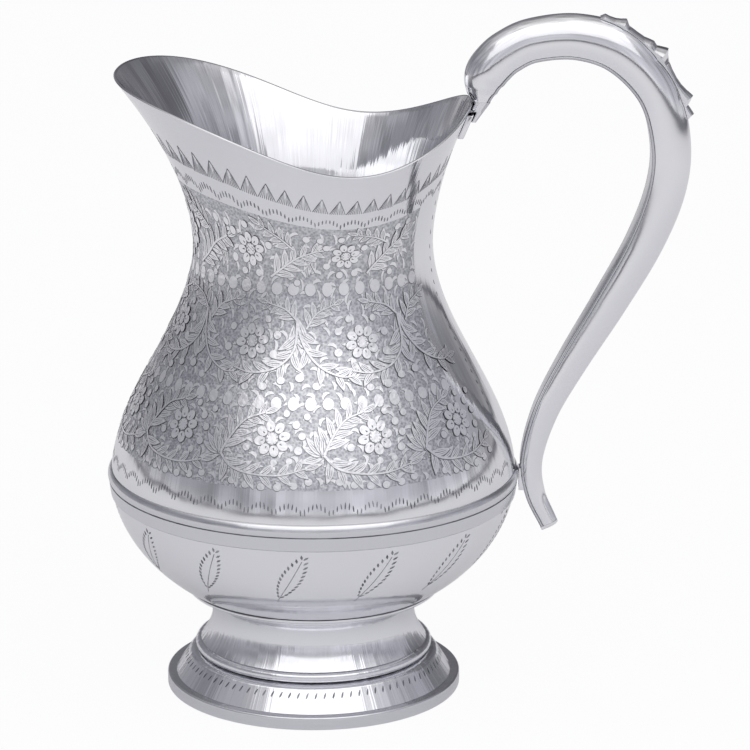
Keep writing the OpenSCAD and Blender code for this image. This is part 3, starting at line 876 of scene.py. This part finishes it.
def neck_panel():
    """The neck's repeat: a small flower and slanting leaf branches."""
    motif = blank()
    for angle, length in ((-95, 8.5), (-78, 7.5), (-112, 7.5)):
        blade(motif, (23.0, 1.5), angle, length, 2.0, 0)
    feather(motif, [(8.0, -8.5), (13.0, -4.2), (18.5, 0.0), (25.5, 3.4)], 5, 8.2, 2.8)
    feather(motif, [(16.5, 2.8), (11.2, 6.4), (4.5, 9.2)], 4, 6.4, 2.3)
    for x, y, size in ((7.2, 2.6, 1.3), (-7.0, 4.2, 1.3), (-1.6, 7.6, 1.2), (-2.6, -7.6, 1.3),
                       (3.2, -7.6, 1.3), (-7.2, -3.8, 1.3), (21.0, 7.6, 1.3), (26.0, 7.8, 1.2),
                       (15.5, -7.6, 1.3), (18.0, -9.8, 1.2)):
        bud(motif, (x, y), size)
    rosette(motif, 5.5, 8)
    return motif


def pebble():
    """An oval berry of the dividing rows, its dark outline shifted down as painted shade below."""
    motif = blank()
    add_patch(motif, oval(SHADE, 2.05 + OUTLINE, 2.5 + OUTLINE), FIRST_LAYER, True)
    add_patch(motif, oval((0, 0), 2.05, 2.5), FIRST_LAYER + BRIGHT_LEVEL, False)
    return motif


def filler():
    """A small curled leaf of the filled ground, lower than the sprays so that they cover it."""
    motif = blank()
    path = np.array([(-1.7, -0.45), (-0.8, 0.25), (0.3, 0.4), (1.2, 0.0), (1.8, -0.8)])
    half = np.array([0.12, 0.5, 0.66, 0.5, 0.1])
    # The leaf's dark outline is shifted by SHADE: painted shade on its lower side
    add_strip(motif, path + SHADE, half + OUTLINE * 0.8, 0.012, True)
    add_strip(motif, path, half, 0.02, False)
    return motif


def tooth():
    """A triangle of the zigzag border, hatched inside."""
    motif = blank()
    left, right, top = np.array([-3.1, -3.1]), np.array([3.1, -3.1]), np.array([0.6, 3.2])
    for a, b in ((left, top), (top, right)):
        add_strip(motif, [a, (a + b) / 2, b], [0.15, 0.18, 0.12], FIRST_LAYER, True)
    for k in np.linspace(0.12, 0.86, 7):
        low = left + (right - left) * k
        high = low + (top - low) * (0.62 + 0.2 * math.sin(9 * k))
        add_strip(motif, [low, (low + high) / 2, high], [0.12, 0.09, 0.03], FIRST_LAYER, True)
    return motif


def tick(length, width):
    """One short cut."""
    motif = blank()
    half = length / 2
    halves = [width * 0.3, width * 0.5, width * 0.2]
    add_strip(motif, [(0, -half), (0, 0), (0, half)], halves, FIRST_LAYER, True)
    return motif


def bowl_leaf():
    """A slanting leaf drawn in dashes, with a fine midrib and a tail."""
    motif = blank()
    long, wide = 25.0, 7.2
    for side in (1, -1):
        for t in np.linspace(0.05, 0.95, 12):
            a = np.array([side * wide / 2 * math.sin(math.pi * t) ** 0.8, long * (t - 0.5)])
            way = np.array([side * 0.55, 0.85])
            add_strip(motif, [a - way * 0.95, a, a + way * 0.95], [0.14, 0.46, 0.1], FIRST_LAYER, True)
    rib = [(0.25 * math.sin(3 * t), long * (t - 0.62)) for t in np.linspace(0, 1, 9)]
    add_strip(motif, rib, [0.14] * 9, FIRST_LAYER, True)
    return motif


def surface_grid(name, grid):
    """A helper sheet whose UV map runs from 0 to 1 along the columns and rows of a grid of points."""
    rows, cols = grid.shape[:2]
    faces = [(i * cols + j, i * cols + j + 1, (i + 1) * cols + j + 1, (i + 1) * cols + j)
             for i in range(rows - 1) for j in range(cols - 1)]
    thing = make_object(name, grid.reshape(-1, 3), faces, 180)
    uv = thing.data.uv_layers.new(name="lay")
    corners = np.zeros(len(thing.data.loops), np.int32)
    thing.data.loops.foreach_get("vertex_index", corners)
    flat = np.stack([(corners % cols) / (cols - 1), (corners // cols) / (rows - 1)], axis=1)
    uv.data.foreach_set("uv", flat.astype(np.float32).ravel())
    return thing


def engraving_tree():
    """Instances a motif on flat points, then lays everything on a surface by its UV map."""
    tree = bpy.data.node_groups.new("lay_engraving", "GeometryNodeTree")
    for name, kind in (("Points", "NodeSocketGeometry"), ("Motif", "NodeSocketObject"),
                       ("Surface", "NodeSocketObject"), ("Around", "NodeSocketFloat"),
                       ("Up", "NodeSocketFloat"), ("Bright", "NodeSocketMaterial"),
                       ("Line", "NodeSocketMaterial")):
        tree.interface.new_socket(name=name, in_out="INPUT", socket_type=kind)
    tree.interface.new_socket(name="Geometry", in_out="OUTPUT", socket_type="NodeSocketGeometry")
    given = put(tree, "NodeGroupInput").outputs
    motif = put(tree, "GeometryNodeObjectInfo", {"Object": given["Motif"]})
    turn = put(tree, "GeometryNodeInputNamedAttribute", {"Name": "turn"}, data_type="FLOAT_VECTOR")
    size = put(tree, "GeometryNodeInputNamedAttribute", {"Name": "size"}, data_type="FLOAT_VECTOR")
    spin = put(tree, "FunctionNodeEulerToRotation", {"Euler": turn.outputs["Attribute"]})
    copies = put(tree, "GeometryNodeInstanceOnPoints", {
        "Points": given["Points"], "Instance": motif.outputs["Geometry"],
        "Rotation": spin.outputs["Rotation"], "Scale": size.outputs["Attribute"]})
    real = put(tree, "GeometryNodeRealizeInstances", {0: copies.outputs["Instances"]})
    place = put(tree, "GeometryNodeInputPosition").outputs["Position"]
    flat = put(tree, "ShaderNodeSeparateXYZ", {0: place})
    u = put(tree, "ShaderNodeMath", {0: flat.outputs["X"], 1: given["Around"]}, operation="DIVIDE")
    v = put(tree, "ShaderNodeMath", {0: flat.outputs["Y"], 1: given["Up"]}, operation="DIVIDE")
    where = put(tree, "ShaderNodeCombineXYZ", {0: u.outputs[0], 1: v.outputs[0]})
    surface = put(tree, "GeometryNodeObjectInfo", {"Object": given["Surface"]}).outputs["Geometry"]
    lay = put(tree, "GeometryNodeInputNamedAttribute", {"Name": "lay"}, data_type="FLOAT_VECTOR")
    normal = put(tree, "GeometryNodeInputNormal").outputs["Normal"]
    spot = put(tree, "GeometryNodeSampleUVSurface", {
        "Mesh": surface, "Value": place, "UV Map": lay.outputs["Attribute"], "Sample UV": where.outputs[0]},
        data_type="FLOAT_VECTOR")
    away = put(tree, "GeometryNodeSampleUVSurface", {
        "Mesh": surface, "Value": normal, "UV Map": lay.outputs["Attribute"], "Sample UV": where.outputs[0]},
        data_type="FLOAT_VECTOR")
    metres = put(tree, "ShaderNodeMath", {0: flat.outputs["Z"], 1: 0.001}, operation="MULTIPLY")
    lift = put(tree, "ShaderNodeVectorMath", {0: away.outputs["Value"], "Scale": metres.outputs[0]},
               operation="SCALE")
    laid = put(tree, "ShaderNodeVectorMath", {0: spot.outputs["Value"], 1: lift.outputs["Vector"]},
               operation="ADD")
    moved = put(tree, "GeometryNodeSetPosition", {
        "Geometry": real.outputs[0], "Position": laid.outputs["Vector"]})
    shine = put(tree, "GeometryNodeSetMaterial", {"Geometry": moved.outputs[0], "Material": given["Bright"]})
    cut = put(tree, "GeometryNodeInputNamedAttribute", {"Name": "line"}, data_type="BOOLEAN")
    dark = put(tree, "GeometryNodeSetMaterial", {
        "Geometry": shine.outputs[0], "Selection": cut.outputs["Attribute"], "Material": given["Line"]})
    put(tree, "NodeGroupOutput", {0: dark.outputs[0]})
    return tree


laying = engraving_tree()
sockets = {item.name: item.identifier for item in laying.interface.items_tree if item.in_out == "INPUT"}


def engrave(name, motif, places, surface, around, up):
    """Lays a motif at flat places, each x, y, turn, width and height, on a surface and keeps a plain mesh."""
    pattern = bpy.data.meshes.new(name + "_motif")
    pattern.from_pydata(motif["points"], [], motif["faces"])
    mark = pattern.attributes.new("line", "BOOLEAN", "FACE")
    mark.data.foreach_set("value", motif["line"])
    pattern_object = bpy.data.objects.new(name + "_motif", pattern)
    bpy.context.scene.collection.objects.link(pattern_object)
    places = np.asarray(places, float)
    spots = bpy.data.meshes.new(name)
    zero = np.zeros(len(places))
    spots.from_pydata(np.column_stack([places[:, 0], places[:, 1], zero]).tolist(), [], [])
    turns = spots.attributes.new("turn", "FLOAT_VECTOR", "POINT")
    turns.data.foreach_set("vector", np.column_stack([zero, zero, places[:, 2]]).ravel())
    sizes = spots.attributes.new("size", "FLOAT_VECTOR", "POINT")
    sizes.data.foreach_set("vector", np.column_stack([places[:, 3], places[:, 4], zero + 1]).ravel())
    thing = bpy.data.objects.new(name, spots)
    bpy.context.scene.collection.objects.link(thing)
    modifier = thing.modifiers.new("lay", "NODES")
    modifier.node_group = laying
    for socket, value in (("Motif", pattern_object), ("Surface", surface), ("Around", float(around)),
                          ("Up", float(up)), ("Bright", bright_cut), ("Line", line)):
        modifier[sockets[socket]] = value
    bpy.context.view_layer.update()
    graph = bpy.context.evaluated_depsgraph_get()
    made = bpy.data.meshes.new_from_object(thing.evaluated_get(graph))
    thing.modifiers.clear()
    thing.data = made
    made.shade_smooth()
    bpy.data.objects.remove(pattern_object)
    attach(thing, "root")
    return thing


rng = np.random.default_rng(7)


def radius_at(length):
    """Mean radius of the body at a length up from the seam."""
    points = body_points([length], np.array([math.pi / 2]))
    return float(np.hypot(points[0, 0, 0], points[0, 0, 1]))


def both_sides(angles, length, wobble=0.0):
    """Places at angles from the handle, on both sides of the ewer, at one length up."""
    wide = FLAT_RADIUS / radius_at(length)
    found = []
    for a in list(angles) + [360 - a for a in angles]:
        turn = rng.uniform(-wobble, wobble)
        found.append((a / 360 * AROUND, length, turn, wide, 1.0))
    return found


def round_row(length, spacing, first=36.0, wobble=0.1, scatter=0.0):
    """A row of places between the reserves beside the handle."""
    radius = radius_at(length)
    count = int(round(math.radians(360 - 2 * first) * radius / spacing))
    wide = FLAT_RADIUS / radius
    found = []
    for k in range(count + 1):
        a = first + (360 - 2 * first) * k / count
        found.append((a / 360 * AROUND, length + rng.uniform(-scatter, scatter), rng.uniform(-wobble, wobble),
                      wide * rng.uniform(0.92, 1.06), rng.uniform(0.92, 1.06)))
    return found


def wave_row(length, spacing, period, rise, first=15.0):
    """A row of ticks that follows scallops."""
    radius = radius_at(length)
    count = int(round(math.radians(360 - 2 * first) * radius / spacing))
    found = []
    for k in range(count + 1):
        a = first + (360 - 2 * first) * k / count
        arc = math.radians(a) * radius
        lift = rise * abs(math.sin(math.pi * arc / period))
        found.append((a / 360 * AROUND, length + lift, rng.uniform(-0.12, 0.12), FLAT_RADIUS / radius,
                      rng.uniform(0.8, 1.15)))
    return found


body_sheet = surface_grid("body_sheet", body_points(np.linspace(0, FULL_LENGTH, 181),
                                                    np.linspace(0, 2 * np.pi, 361)))
on_body = (body_sheet, AROUND, FULL_LENGTH)
pieces = [
    engrave("flowers_on_belly", low_panel(), both_sides((37, 69.5, 102, 134.5, 167), 37.0, 0.04), *on_body),
    engrave("flowers_on_shoulder", mid_panel(), both_sides((68.5, 115, 161.5), 72.5, 0.04), *on_body),
    engrave("flowers_on_neck", neck_panel(), both_sides((74, 119, 164), 105.5, 0.05), *on_body),
    engrave("berry_row_low", pebble(), round_row(50.2, 6.4), *on_body),
    engrave("berry_row_high", pebble(), round_row(92.5, 6.2), *on_body),
    engrave("zigzag_border", tooth(), round_row(128.0, 6.5, 14.0, 0.04), *on_body),
    engrave("neck_ticks", tick(2.0, 0.55), wave_row(119.0, 1.35, 9.2, 2.2), *on_body),
    engrave("girdle_ticks", tick(2.2, 0.55), wave_row(9.6, 1.5, 10.5, 3.0), *on_body),
]
fill = []
for length in np.arange(21.0, 116.5, 4.6):
    fill += round_row(float(length), 5.2, 35.0, 1.5, 1.3)
pieces.append(engrave("curled_leaves", filler(), fill, *on_body))
edge_ticks = [(a / 360 * AROUND, length, 0.25, FLAT_RADIUS / radius_at(length), 1.0)
              for a in (14.0, 346.0) for length in np.arange(22, 128, 4.6)]
pieces.append(engrave("reserve_ticks", tick(1.7, 0.6), edge_ticks, *on_body))

bowl_rows = np.linspace(SEAM_HEIGHT, BOWL_FLOOR + 2, 60)[::-1]
bowl_steps = np.hypot(np.diff(bowl_rows), np.diff(bowl(bowl_rows)))
bowl_length = float(bowl_steps.sum())
bowl_lengths = np.concatenate([[0], np.cumsum(bowl_steps)])
bowl_even = np.interp(np.linspace(0, bowl_length, 80), bowl_lengths, bowl_rows)


def turned_sheet(name, radius, rows):
    """A helper sheet all round a turned piece, from its radius at each height."""
    a = np.linspace(0, 2 * np.pi, 241)
    return surface_grid(name, np.stack([
        np.stack([radius(z) * np.cos(a), radius(z) * np.sin(a), 0 * a + z], axis=-1) for z in rows]))


bowl_sheet = turned_sheet("bowl_sheet", bowl, bowl_even)
leaf_places = [((7.2 + 25.7 * k) / 360 * AROUND, bowl_length - 18.0, -0.38, FLAT_RADIUS / 70.0, 1.0)
               for k in range(14)]
pieces.append(engrave("bowl_leaves", bowl_leaf(), leaf_places, bowl_sheet, AROUND, bowl_length))

skirt_rows = np.linspace(RING_HEIGHT + 0.1, skirt_high - 0.1, 30)
skirt_sheet = turned_sheet("skirt_sheet", skirt, skirt_rows)
skirt_places = [(a / 360 * AROUND, 6.2, -0.5, FLAT_RADIUS / 49.0, 1.0) for a in np.linspace(2, 358, 92)]
pieces.append(engrave("skirt_ticks", tick(2.2, 0.7), skirt_places, skirt_sheet, AROUND, 9.5))

for sheet in (body_sheet, bowl_sheet, skirt_sheet):
    bpy.data.objects.remove(sheet)
for piece in grooves:
    piece.data.materials.append(line)
    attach(piece, "root")

# Every smooth piece takes the place of its CAD node

for piece in (lower_bowl, foot_collar, foot_stem, foot_skirt, foot_ring, girdle_band, handle_shell,
              handle_strap, handle_end_plate, handle_tail_plate, thumbpiece):
    metal = plain_silver
    if piece in (foot_stem, foot_skirt):
        metal = foot_silver
    elif piece == lower_bowl:
        metal = turned_silver
    elif piece == handle_strap:
        metal = strap_silver
    elif piece in (girdle_band, foot_ring):
        metal = wire_silver
    if piece != handle_end_plate:
        piece.data.materials.append(metal)
    finish_piece(piece, piece.name.split(".")[0])
for piece, node in ((rim_pad, "rim_pad"), (lower_pad, "lower_pad")):
    piece.data.materials.clear()
    piece.data.materials.append(plain_silver)
    finish_piece(piece, node)
finish_piece(upper_body, "upper_body")

# Studio: a pale floor, a light tent as the world, and one large soft box over the front


def floor_material():
    """Matt white paper sweep. The camera sees it nearly white, with the shadow kept. Mirror images of it get
    painted light: painted shade near the object, brightest about a metre in front, and a painted dark band
    from 1.4 to 3 m out."""
    material = bpy.data.materials.new("white_paper_floor")
    material.use_nodes = True
    tree = material.node_tree
    shader = tree.nodes["Principled BSDF"]
    shader.inputs["Roughness"].default_value = 0.9
    path = put(tree, "ShaderNodeLightPath")
    place = put(tree, "ShaderNodeTexCoord").outputs["Object"]
    away = put(tree, "ShaderNodeVectorMath", {0: place}, operation="LENGTH").outputs["Value"]
    # Mirror images only: the paper's colour darkens to #7c7c82 from 1.4 to 3 m out, a painted dark band in
    # reflections
    end = put(tree, "ShaderNodeMapRange", {"Value": away, "From Min": 1.4, "From Max": 3.0, "To Min": 0.0,
                                           "To Max": 1.0}, interpolation_type="SMOOTHSTEP").outputs["Result"]
    painted_dark_reflection = put(tree, "ShaderNodeMath", {0: end, 1: path.outputs["Is Glossy Ray"]},
                       operation="MULTIPLY")
    colour = put(tree, "ShaderNodeMix", {"Factor": painted_dark_reflection.outputs[0], 6: linear("#f3f3f5"),
                                         7: linear("#7c7c82")}, data_type="RGBA")
    tree.links.new(colour.outputs[2], shader.inputs["Base Color"])
    glow = put(tree, "ShaderNodeEmission", {"Color": (1, 1, 1, 1), "Strength": 1.0})
    # Mirror images only: the glow's share rises from 0.25 to 0.8 m out, painted shade near the object and
    # painted light farther out
    lit = put(tree, "ShaderNodeMapRange", {
        "Value": away, "From Min": 0.25, "From Max": 0.8, "To Min": 0.146, "To Max": 0.336},
        interpolation_type="SMOOTHSTEP").outputs["Result"]
    kept = put(tree, "ShaderNodeMath", {0: 1.0, 1: end}, operation="SUBTRACT")
    painted_reflection_glow = put(tree, "ShaderNodeMath", {0: lit, 1: kept.outputs[0]}, operation="MULTIPLY")
    sharp = put(tree, "ShaderNodeMath", {0: path.outputs["Is Glossy Ray"], 1: painted_reflection_glow.outputs[0]},
                operation="MULTIPLY")
    straight = put(tree, "ShaderNodeMath", {0: path.outputs["Is Camera Ray"], 1: 0.95}, operation="MULTIPLY")
    share = put(tree, "ShaderNodeMath", {0: sharp.outputs[0], 1: straight.outputs[0]}, operation="MAXIMUM")
    mixed = put(tree, "ShaderNodeMixShader", {0: share.outputs[0], 1: shader.outputs[0], 2: glow.outputs[0]})
    tree.links.new(mixed.outputs[0], tree.nodes["Material Output"].inputs["Surface"])
    return material


floor = make_object("floor", [(-9000, -9000, 0), (9000, -9000, 0), (9000, 9000, 0), (-9000, 9000, 0)],
                    [(0, 1, 2, 3)])
floor.data.materials.append(floor_material())

world = bpy.data.worlds.new("light_tent")
world.use_nodes = True
bpy.context.scene.world = world
tent = world.node_tree
direction = put(tent, "ShaderNodeTexCoord").outputs["Generated"]
parts = put(tent, "ShaderNodeSeparateXYZ", {0: direction})
# Grey walls that lighten to the roof
walls = put(tent, "ShaderNodeValToRGB", {"Fac": parts.outputs["Z"]})
walls.color_ramp.elements[0].position = 0.0
walls.color_ramp.elements[0].color = linear("#d2d2d6")
walls.color_ramp.elements[1].position = 1.0
walls.color_ramp.elements[1].color = linear("#fafafa")
for position, code in ((0.1, "#b4b4bb"), (0.4, "#a2a2aa"), (0.62, "#c2c2c8"), (0.8, "#f0f0f2")):
    stop = walls.color_ramp.elements.new(position)
    stop.color = linear(code)
# Folds of the tent's cloth
folds = put(tent, "ShaderNodeVectorMath", {0: direction, 1: (7.0, 7.0, 0.6)}, operation="MULTIPLY")
cloth = put(tent, "ShaderNodeTexNoise", {"Vector": folds.outputs["Vector"], "Scale": 1.0, "Detail": 3.0})
pleats = put(tent, "ShaderNodeMapRange", {"Value": cloth.outputs["Fac"], "From Min": 0.35, "From Max": 0.65,
                                          "To Min": 0.6, "To Max": 1.25})
# The low front towards -Y, lit through the opening where the camera stands
low = put(tent, "ShaderNodeMapRange", {"Value": parts.outputs["Z"], "From Min": 0.2, "From Max": 0.32,
                                       "To Min": 1.0, "To Max": 0.0})
near = put(tent, "ShaderNodeMapRange", {"Value": parts.outputs["Y"], "From Min": -0.55, "From Max": -0.85,
                                        "To Min": 0.0, "To Max": 0.42})
front = put(tent, "ShaderNodeMath", {0: low.outputs["Result"], 1: near.outputs["Result"], 2: 1.0},
            operation="MULTIPLY_ADD")
# A dim corner at the back right
corner_way = put(tent, "ShaderNodeVectorMath", {0: direction, 1: (0.5, 0.87, 0.0)}, operation="DOT_PRODUCT")
dim = put(tent, "ShaderNodeMapRange", {"Value": corner_way.outputs["Value"], "From Min": 0.6,
                                       "From Max": 0.98, "To Min": 1.0, "To Max": 0.6})
# A dim roof towards the back, which draws the upper edges
roof_way = put(tent, "ShaderNodeVectorMath", {0: direction, 1: (0.0, 0.75, 0.66)}, operation="DOT_PRODUCT")
roof = put(tent, "ShaderNodeMapRange", {"Value": roof_way.outputs["Value"], "From Min": 0.5, "From Max": 0.95,
                                        "To Min": 1.0, "To Max": 0.6})
dims = put(tent, "ShaderNodeMath", {0: roof.outputs["Result"], 1: dim.outputs["Result"]},
           operation="MULTIPLY")
# A paler wall on the right
right = put(tent, "ShaderNodeMapRange", {"Value": parts.outputs["X"], "From Min": 0.5, "From Max": 0.95,
                                         "To Min": 1.0, "To Max": 1.4})
sides = put(tent, "ShaderNodeMath", {0: dims.outputs[0], 1: right.outputs["Result"]}, operation="MULTIPLY")
fill_level = put(tent, "ShaderNodeMath", {0: front.outputs[0], 1: sides.outputs[0]}, operation="MULTIPLY")
level = put(tent, "ShaderNodeMath", {0: fill_level.outputs[0], 1: pleats.outputs["Result"]},
            operation="MULTIPLY")
shade = put(tent, "ShaderNodeVectorMath", {0: walls.outputs["Color"], "Scale": level.outputs[0]},
            operation="SCALE")
# The soft box lights the cloth round it
box_way = put(tent, "ShaderNodeVectorMath", {0: direction, 1: (0.05, -0.58, 0.81)}, operation="DOT_PRODUCT")
halo = put(tent, "ShaderNodeMapRange", {"Value": box_way.outputs["Value"], "From Min": 0.5, "From Max": 0.93,
                                        "To Min": 0.0, "To Max": 0.36}, interpolation_type="SMOOTHSTEP")
glow_colour = put(tent, "ShaderNodeCombineXYZ", {k: halo.outputs["Result"] for k in range(3)})
lit_cloth = put(tent, "ShaderNodeVectorMath", {0: shade.outputs["Vector"], 1: glow_colour.outputs["Vector"]},
                operation="ADD")
seen = put(tent, "ShaderNodeLightPath")
tent_light = tent.nodes["Background"]
tent.links.new(lit_cloth.outputs["Vector"], tent_light.inputs["Color"])
tent_light.inputs["Strength"].default_value = 0.86
white = put(tent, "ShaderNodeBackground", {"Color": (1, 1, 1, 1), "Strength": 1.0})
sky = put(tent, "ShaderNodeMixShader", {0: seen.outputs["Is Camera Ray"], 1: tent_light.outputs[0],
                                        2: white.outputs[0]})
tent.links.new(sky.outputs[0], tent.nodes["World Output"].inputs["Surface"])


def soft_lamp(name, place, aim, wide, tall, power):
    """A soft box that points at a place on the object."""
    lamp = bpy.data.lights.new(name, "AREA")
    lamp.shape = "RECTANGLE"
    lamp.size = wide
    lamp.size_y = tall
    lamp.energy = power
    thing = bpy.data.objects.new(name, lamp)
    bpy.context.scene.collection.objects.link(thing)
    thing.location = place
    thing.rotation_mode = "QUATERNION"
    thing.rotation_quaternion = (Vector(aim) - Vector(place)).to_track_quat("-Z", "Y")


soft_lamp("front_soft_box", (0.06, -0.78, 1.08), (0, 0, 0.12), 1.9, 1.15, 3.75)

# Camera at the photograph's place, 16 degrees above the horizon: metres away, pixels to a millimetre
CAMERA_AWAY = 1.6
PIXELS = 2.6364
PHOTO_WIDTH = 750
SENSOR = 36.0
camera = bpy.data.cameras.new("camera")
camera.sensor_width = SENSOR
camera.lens = PIXELS * CAMERA_AWAY * 1000 / PHOTO_WIDTH * SENSOR
camera.clip_start = 0.05
camera_object = bpy.data.objects.new("camera", camera)
bpy.context.scene.collection.objects.link(camera_object)
aim = Vector((0.0234, 0.0, 0.1224))
tilt = math.radians(16.25)
back = Vector((0.0, -math.cos(tilt), math.sin(tilt)))
facing = (-back).to_track_quat("-Z", "Y").to_matrix().to_4x4() @ Matrix.Rotation(math.radians(0.17), 4, "Z")
camera_object.matrix_world = Matrix.Translation(aim + back * CAMERA_AWAY) @ facing
bpy.context.scene.camera = camera_object
bpy.context.scene.view_settings.view_transform = "Standard"
